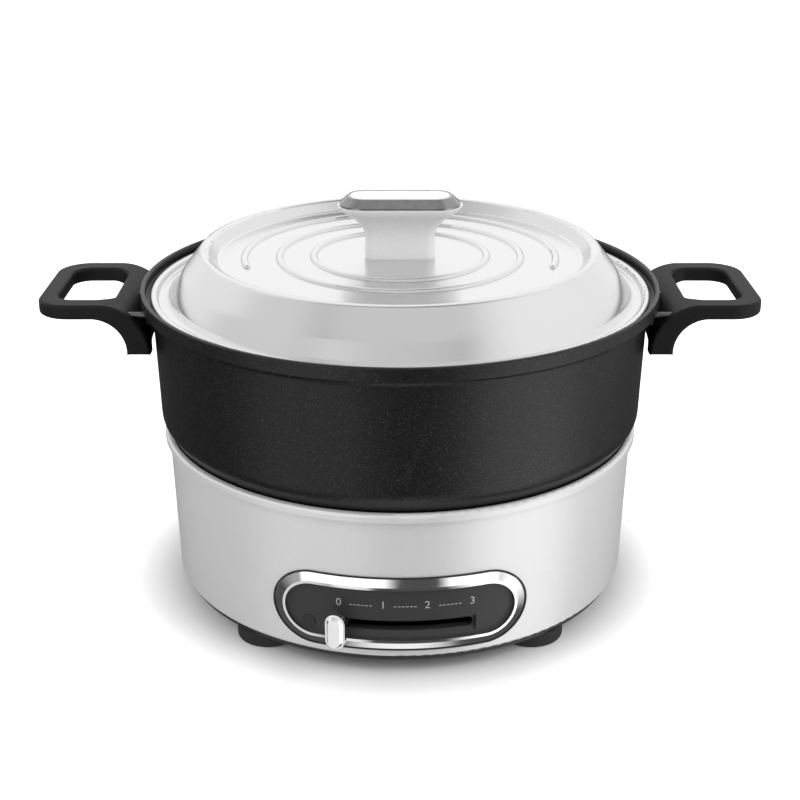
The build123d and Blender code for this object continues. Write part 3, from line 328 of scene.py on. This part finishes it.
def start_finish(name, roughness, metallic=0.0):
    """A new material with its Principled shader set up. Returns the material, its tree and its shader."""
    material = bpy.data.materials.new(name)
    material.use_nodes = True
    shader = material.node_tree.nodes["Principled BSDF"]
    shader.inputs["Roughness"].default_value = roughness
    shader.inputs["Metallic"].default_value = metallic
    return material, material.node_tree, shader


def grain(tree, size, detail=3.0, stretch=(1, 1, 1)):
    """A noise on Object coordinates whose features are about as large as size, in metres."""
    place = tree.nodes.new("ShaderNodeTexCoord")
    mapping = tree.nodes.new("ShaderNodeMapping")
    mapping.inputs["Scale"].default_value = stretch
    noise = tree.nodes.new("ShaderNodeTexNoise")
    noise.inputs["Scale"].default_value = 1 / size
    noise.inputs["Detail"].default_value = detail
    tree.links.new(place.outputs["Object"], mapping.inputs["Vector"])
    tree.links.new(mapping.outputs["Vector"], noise.inputs["Vector"])
    return noise.outputs["Fac"]


def grey(value):
    """A neutral colour."""
    return (value, value, value)


print("a grain of 0.4 mm has a noise scale of", round(1 / 0.0004))

# %% Colour, gloss and relief from a grain


def tint(tree, shader, value, dark, light, low=0.3, high=0.7):
    """Colour the shader between two colours by a pattern."""
    ramp = tree.nodes.new("ShaderNodeValToRGB")
    ramp.color_ramp.elements[0].position = low
    ramp.color_ramp.elements[0].color = (*dark, 1)
    ramp.color_ramp.elements[1].position = high
    ramp.color_ramp.elements[1].color = (*light, 1)
    tree.links.new(value, ramp.inputs["Fac"])
    tree.links.new(ramp.outputs["Color"], shader.inputs["Base Color"])


def gloss(tree, shader, value, smooth, rough, low=0.3, high=0.7):
    """Vary the roughness between two values by a pattern."""
    span = tree.nodes.new("ShaderNodeMapRange")
    span.inputs["From Min"].default_value = low
    span.inputs["From Max"].default_value = high
    span.inputs["To Min"].default_value = smooth
    span.inputs["To Max"].default_value = rough
    tree.links.new(value, span.inputs["Value"])
    tree.links.new(span.outputs["Result"], shader.inputs["Roughness"])


def relief(tree, shader, value, depth, strength):
    """Let a pattern raise and sink the surface by a depth in metres."""
    bump = tree.nodes.new("ShaderNodeBump")
    bump.inputs["Distance"].default_value = depth
    bump.inputs["Strength"].default_value = strength
    tree.links.new(value, bump.inputs["Height"])
    tree.links.new(bump.outputs["Normal"], shader.inputs["Normal"])


def dress(material, *names):
    """Give a finish to solid pieces by their names."""
    for name in names:
        for slot in nodes[name].material_slots:
            slot.material = material
    print(material.name, "on", ", ".join(names))


# %% [markdown]
# The painted base.
#
# The base is pressed steel in a satin silver-white paint. Such paint has a faint orange-peel surface and fine
# flakes that make its gloss uneven. A flat colour would look like card, so a fine noise goes into the
# roughness and, very weakly, the colour, and a broader one into the relief.

# %% Shell paint
paint, tree, shader = start_finish("satin_silver_paint", roughness=0.34, metallic=0.25)
flakes = grain(tree, 0.0005)
orange_peel = grain(tree, 0.0028, detail=1.0)
tint(tree, shader, flakes, grey(0.72), grey(0.78))
gloss(tree, shader, flakes, smooth=0.30, rough=0.40)
relief(tree, shader, orange_peel, depth=0.00002, strength=0.5)
dress(paint, "base_shell", "top_ring")

# %% [markdown]
# The lid.
#
# The lid is pressed aluminium with a smoother satin finish: the foot of its handle is mirrored in it. A
# higher metallic value and a lower roughness give that, and a fine even grain keeps the reflection soft.

# %% Lid finish
lid_metal, tree, shader = start_finish("satin_aluminium", roughness=0.22, metallic=0.95)
sand = grain(tree, 0.0004)
tint(tree, shader, sand, grey(0.67), grey(0.72))
gloss(tree, shader, sand, smooth=0.18, rough=0.26)
relief(tree, shader, sand, depth=0.000006, strength=0.5)
dress(lid_metal, "lid")

# %% [markdown]
# The pot.
#
# The pot is cast aluminium under a black non-stick coating with tiny pale specks. The specks could be a
# thousand small shapes, but a noise is lighter: it is cut off high, so that only its peaks remain. A second,
# broader noise gives the coating's uneven gloss.

# %% Non-stick coating
coating_specular = 0.38
speck_low = 0.58
speck_high = 0.78

coating, tree, shader = start_finish("speckled_coating", roughness=0.42)
shader.inputs["Specular IOR Level"].default_value = coating_specular
specks = grain(tree, 0.0007, detail=2.0)
blotches = grain(tree, 0.0012)
tint(tree, shader, specks, grey(0.003), grey(0.06), speck_low, speck_high)
gloss(tree, shader, blotches, smooth=0.32, rough=0.44)
relief(tree, shader, specks, depth=0.00006, strength=0.6)
dress(coating, "pot")

# %% [markdown]
# The black mouldings.
#
# The pot's handles are black plastic with a fine satin grain. The same recipe, with other greys, serves the
# bottom cover, the inlet, the feet and the control panel. So it is a function whose arguments are the
# differences, and not five copies of the same nodes.

# %% A moulded finish
moulded_relief = 0.6


def moulded(name, dark, light, smooth, rough, grain_size, depth, specular=0.5):
    """A moulded plastic or rubber with a fine grain."""
    material, tree, shader = start_finish(name, rough)
    shader.inputs["Specular IOR Level"].default_value = specular
    pattern = grain(tree, grain_size)
    tint(tree, shader, pattern, dark, light)
    gloss(tree, shader, pattern, smooth, rough)
    relief(tree, shader, pattern, depth, moulded_relief)
    return material


# %% Handles, cover and feet
handle_black = moulded(
    "handle_black", grey(0.006), grey(0.010), smooth=0.46, rough=0.58, grain_size=0.0006, depth=0.00003,
    specular=0.17,
)
dress(handle_black, "handle_left", "handle_right")
cover_black = moulded(
    "cover_black", grey(0.020), grey(0.032), smooth=0.50, rough=0.65, grain_size=0.0008, depth=0.00004,
)
dress(cover_black, "bottom_cover", "inlet_housing", "slider_lever", "thermostat_pinion", "thermostat_body")
# This black rubber also colours the painted shade line round the bezel.
foot_rubber = moulded(
    "foot_rubber", grey(0.010), grey(0.016), smooth=0.70, rough=0.85, grain_size=0.0005, depth=0.00003,
)
dress(foot_rubber, "foot_front_left", "foot_front_right", "foot_rear_left", "foot_rear_right", "lid_washers")

# %% Panel and lens
panel_grey = moulded(
    "panel_grey", grey(0.034), grey(0.044), smooth=0.42, rough=0.52, grain_size=0.0004, depth=0.00001,
    specular=0.3,
)
dress(panel_grey, "control_panel")
lens_dark = moulded(
    "lens_dark", (0.005, 0.004, 0.004), (0.008, 0.006, 0.006), smooth=0.06, rough=0.10, grain_size=0.0012,
    depth=0.00001,
)
dress(lens_dark, "indicator_lens", "indicator_lamp")

# %% [markdown]
# Pale plastic.
#
# The foot of the lid's handle and the plate on top of it are smooth pale plastic, a little glossier than the
# paint. The moulded recipe makes them too, with a low roughness and hardly any relief.

# %% Stem and cap
stem_pale = moulded(
    "stem_pale", grey(0.90), grey(0.93), smooth=0.24, rough=0.30, grain_size=0.0008, depth=0.00001,
)
dress(stem_pale, "lid_handle_stem")
cap_white = moulded(
    "cap_white", grey(0.80), grey(0.84), smooth=0.22, rough=0.28, grain_size=0.0008, depth=0.00001,
)
dress(cap_white, "lid_handle_cap", "thermal_fuse")

# %% [markdown]
# Metals.
#
# Chrome is on the bezel and the knob: a mirror with a trace of haze. The trim of the lid's handle is the
# same chrome painted darker, a painted shade that stands for the dark room it mirrors. The steel, brass and
# cast aluminium inside are duller, and the steel has streaks from drawing, which are a noise stretched along
# one axis.

# %% A bare metal


def metal(name, dark, light, smooth, rough, grain_size, stretch=(1, 1, 1)):
    """A bare metal whose gloss and colour vary with a grain that may be drawn out."""
    material, tree, shader = start_finish(name, rough, metallic=1.0)
    pattern = grain(tree, grain_size, stretch=stretch)
    tint(tree, shader, pattern, dark, light)
    gloss(tree, shader, pattern, smooth, rough)
    return material


# %% Chrome
chrome = metal("chrome", grey(0.80), grey(0.86), smooth=0.07, rough=0.12, grain_size=0.004)
dress(chrome, "panel_bezel", "slider_knob")
# The same chrome with a darker colour: painted shade for the dark reflections in the trim.
chrome_painted_darker = metal("chrome_painted_darker", grey(0.25), grey(0.30), smooth=0.07, rough=0.12, grain_size=0.004)
dress(chrome_painted_darker, "lid_handle_trim")

# %% Steel, aluminium and brass
steel = metal(
    "steel", grey(0.50), grey(0.60), smooth=0.25, rough=0.40, grain_size=0.001, stretch=(1, 1, 0.1),
)
dress(
    steel, "foot_screws", "cover_screws", "heater_posts", "heater_screws", "inner_pan", "lever_pivot",
    "pivot_clip", "thermostat_spindle", "fuse_clip", "lid_screws",
)
dark_steel = metal("dark_steel", grey(0.12), grey(0.18), smooth=0.30, rough=0.45, grain_size=0.001)
dress(dark_steel, "heating_element", "handle_pins", "handle_screws")
cast = metal("cast_aluminium", grey(0.42), grey(0.52), smooth=0.35, rough=0.50, grain_size=0.0015)
dress(cast, "heating_plate")
brass = metal("brass", (0.62, 0.44, 0.18), (0.72, 0.54, 0.24), smooth=0.22, rough=0.35, grain_size=0.001)
dress(brass, "thermostat_tabs", "inlet_pins")

# %% [markdown]
# The wires.
#
# Inside the base, sleeved wires run between the inlet, the thermostat, the fuse and the element. Their
# colours follow the usual code: brown for live, blue for neutral, green for earth. One loop gives each wire
# its own finish, so that a colour can be changed without touching the others.

# %% Wires
brown = ((0.10, 0.04, 0.02), (0.14, 0.06, 0.03))
blue = ((0.01, 0.03, 0.16), (0.02, 0.05, 0.22))
green = ((0.10, 0.20, 0.02), (0.16, 0.28, 0.03))

for wire_name, (dark, light) in (
    ("wire_live", brown),
    ("wire_thermostat", brown),
    ("wire_element", brown),
    ("wire_neutral", blue),
    ("wire_earth", green),
):
    sleeve = moulded(
        f"{wire_name}_sleeve", dark, light, smooth=0.35, rough=0.45, grain_size=0.0006, depth=0.00001,
    )
    dress(sleeve, wire_name)

# %% [markdown]
# The painted wall.
#
# The painted shade line round the bezel and the print lie on the round wall of the base, which flares a
# little towards the top. One function gives its radius at any height, and both use it.

# %% Radius of the wall
wall_foot_radius = 0.1313
wall_foot_height = 0.0115
wall_height = 0.0805
wall_widening = 0.0024
wall_flare = wall_widening / wall_height


def wall_radius(height):
    """Outer radius of the painted wall at a height above the table."""
    return wall_foot_radius + (height - wall_foot_height) * wall_flare


print("wall radius at 40 mm:", round(wall_radius(0.040), 5))

# %% [markdown]
# The painted shade line round the bezel.
#
# A thin black strip frames the bezel: a painted shade line that stands for the shadow in the gap between
# the bezel and the paint.
# A swept curve could make it, but its flat section would twist on the round wall. So its outline is a circle
# whose two halves are pulled apart. Two such outlines, one a little larger, are bridged into a flat ring.

# %% Flat ring of the shade line
shade_line_length = 0.1312
shade_line_height = 0.0420
shade_line_width = 0.0008
shade_line_segments = 96
shade_line_cuts = 30

shape = bmesh.new()
straight = (shade_line_length - shade_line_height) / 2
half_step = Matrix.Rotation(math.pi / shade_line_segments, 3, "Z")
for reach in (shade_line_height / 2, shade_line_height / 2 + shade_line_width):
    ring = bmesh.ops.create_circle(shape, segments=shade_line_segments, radius=reach)["verts"]
    bmesh.ops.rotate(shape, verts=ring, cent=(0, 0, 0), matrix=half_step)
    right_half = [corner for corner in ring if corner.co.x > 0]
    left_half = [corner for corner in ring if corner.co.x < 0]
    bmesh.ops.translate(shape, verts=right_half, vec=(straight, 0, 0))
    bmesh.ops.translate(shape, verts=left_half, vec=(-straight, 0, 0))
long_edges = [edge for edge in shape.edges if edge.calc_length() > straight]
bmesh.ops.subdivide_edges(shape, edges=long_edges, cuts=shade_line_cuts)
bmesh.ops.bridge_loops(shape, edges=shape.edges[:])
print("flat ring", len(shape.faces), "faces")

# %% [markdown]
# The ring is flat so far. Now each corner goes onto the wall, a little below the paint so that no gap shows,
# and an extrusion outwards gives the painted shade line its thickness.

# %% Shade line on the wall
shade_line_middle = 0.0377
shade_line_sunk = 0.0004
shade_line_thickness = 0.0011

for corner in shape.verts:
    height = shade_line_middle + corner.co.y
    radius = wall_radius(height) - shade_line_sunk
    corner.co = (corner.co.x, -math.sqrt(radius ** 2 - corner.co.x ** 2), height)
grown = bmesh.ops.extrude_face_region(shape, geom=shape.faces[:])["geom"]
for corner in grown:
    if isinstance(corner, bmesh.types.BMVert):
        corner.co += Vector((corner.co.x, corner.co.y, 0)).normalized() * shade_line_thickness
bmesh.ops.recalc_face_normals(shape, faces=shape.faces[:])
mesh = bpy.data.meshes.new("bezel_shade_line")
shape.to_mesh(mesh)
shape.free()
shade_line = bpy.data.objects.new("bezel_shade_line", mesh)
scene.collection.objects.link(shade_line)
# The strip takes the black rubber finish: a painted shade line for the gap round the bezel.
mesh.materials.append(foot_rubber)
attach(shade_line, "base")
print("shade_line", len(mesh.polygons), "faces")

# %% [markdown]
# The print on the panel.
#
# The slider's scale is printed in pale grey. An image could be laid over the panel, but a mesh stays sharp at
# any distance. The panel is bent round the base, so flat marks have to be bent with it: each point's X
# becomes a turn round the middle and its Y a height on the wall, a hair proud of the panel.

# %% Print helpers
print_lift = 0.00005
print_grey = moulded(
    "print_grey", grey(0.40), grey(0.48), smooth=0.50, rough=0.60, grain_size=0.0003, depth=0.000005,
)


def bend_onto_wall(points, turn, height):
    """Move flat points, X to the right and Y up, onto the wall at a turn from the front and a height."""
    for point in points:
        level = height + point.co.y
        radius = wall_radius(level) + print_lift
        angle = math.radians(turn) + point.co.x / radius
        point.co = (radius * math.sin(angle), -radius * math.cos(angle), level)


def printed(name, mesh):
    """A printed mark that belongs to the base."""
    mark = bpy.data.objects.new(name, mesh)
    scene.collection.objects.link(mark)
    mark.data.materials.append(print_grey)
    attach(mark, "base")
    print(name, len(mesh.polygons), "faces")


# %% [markdown]
# The numbers.
#
# Blender's own font draws the numbers. A text object is a curve, so it is turned into a mesh before it is
# bent, and the text object is thrown away.

# %% Printed numbers
number_turns = (-13.95, -3.79, 6.18, 16.57)
number_height = 0.0410
number_size = 0.0062

for number, turn in enumerate(number_turns):
    curve = bpy.data.curves.new("number", "FONT")
    curve.body = str(number)
    curve.size = number_size
    curve.align_x = "CENTER"
    flat = bpy.data.objects.new("number", curve)
    scene.collection.objects.link(flat)
    bpy.context.view_layer.update()
    mesh = bpy.data.meshes.new_from_object(flat)
    bpy.data.objects.remove(flat)
    bpy.data.curves.remove(curve)
    mesh.materials.clear()
    bend_onto_wall(mesh.vertices, turn, number_height)
    printed(f"print_number_{number}", mesh)

# %% [markdown]
# The dashes.
#
# A row of short dashes joins each number to the next. Each dash is a one-face grid as long as the dash,
# squeezed to its width and moved to its place in the row. Then the whole row is bent like a number.

# %% Dashes between the numbers
dash_height = 0.0420
dash_count = 6
dash_pitch = 0.0021
dash_length = 0.0014
dash_width = 0.00045

for gap, (left, right) in enumerate(zip(number_turns, number_turns[1:])):
    shape = bmesh.new()
    for dash in range(dash_count):
        middle = (dash - (dash_count - 1) / 2) * dash_pitch
        corners = bmesh.ops.create_grid(shape, x_segments=1, y_segments=1, size=dash_length / 2)["verts"]
        bmesh.ops.scale(shape, verts=corners, vec=(1, dash_width / dash_length, 1))
        bmesh.ops.translate(shape, verts=corners, vec=(middle, dash_width / 2, 0))
    bend_onto_wall(shape.verts, (left + right) / 2, dash_height)
    mesh = bpy.data.meshes.new(f"print_dashes_{gap}")
    shape.to_mesh(mesh)
    shape.free()
    printed(f"print_dashes_{gap}", mesh)
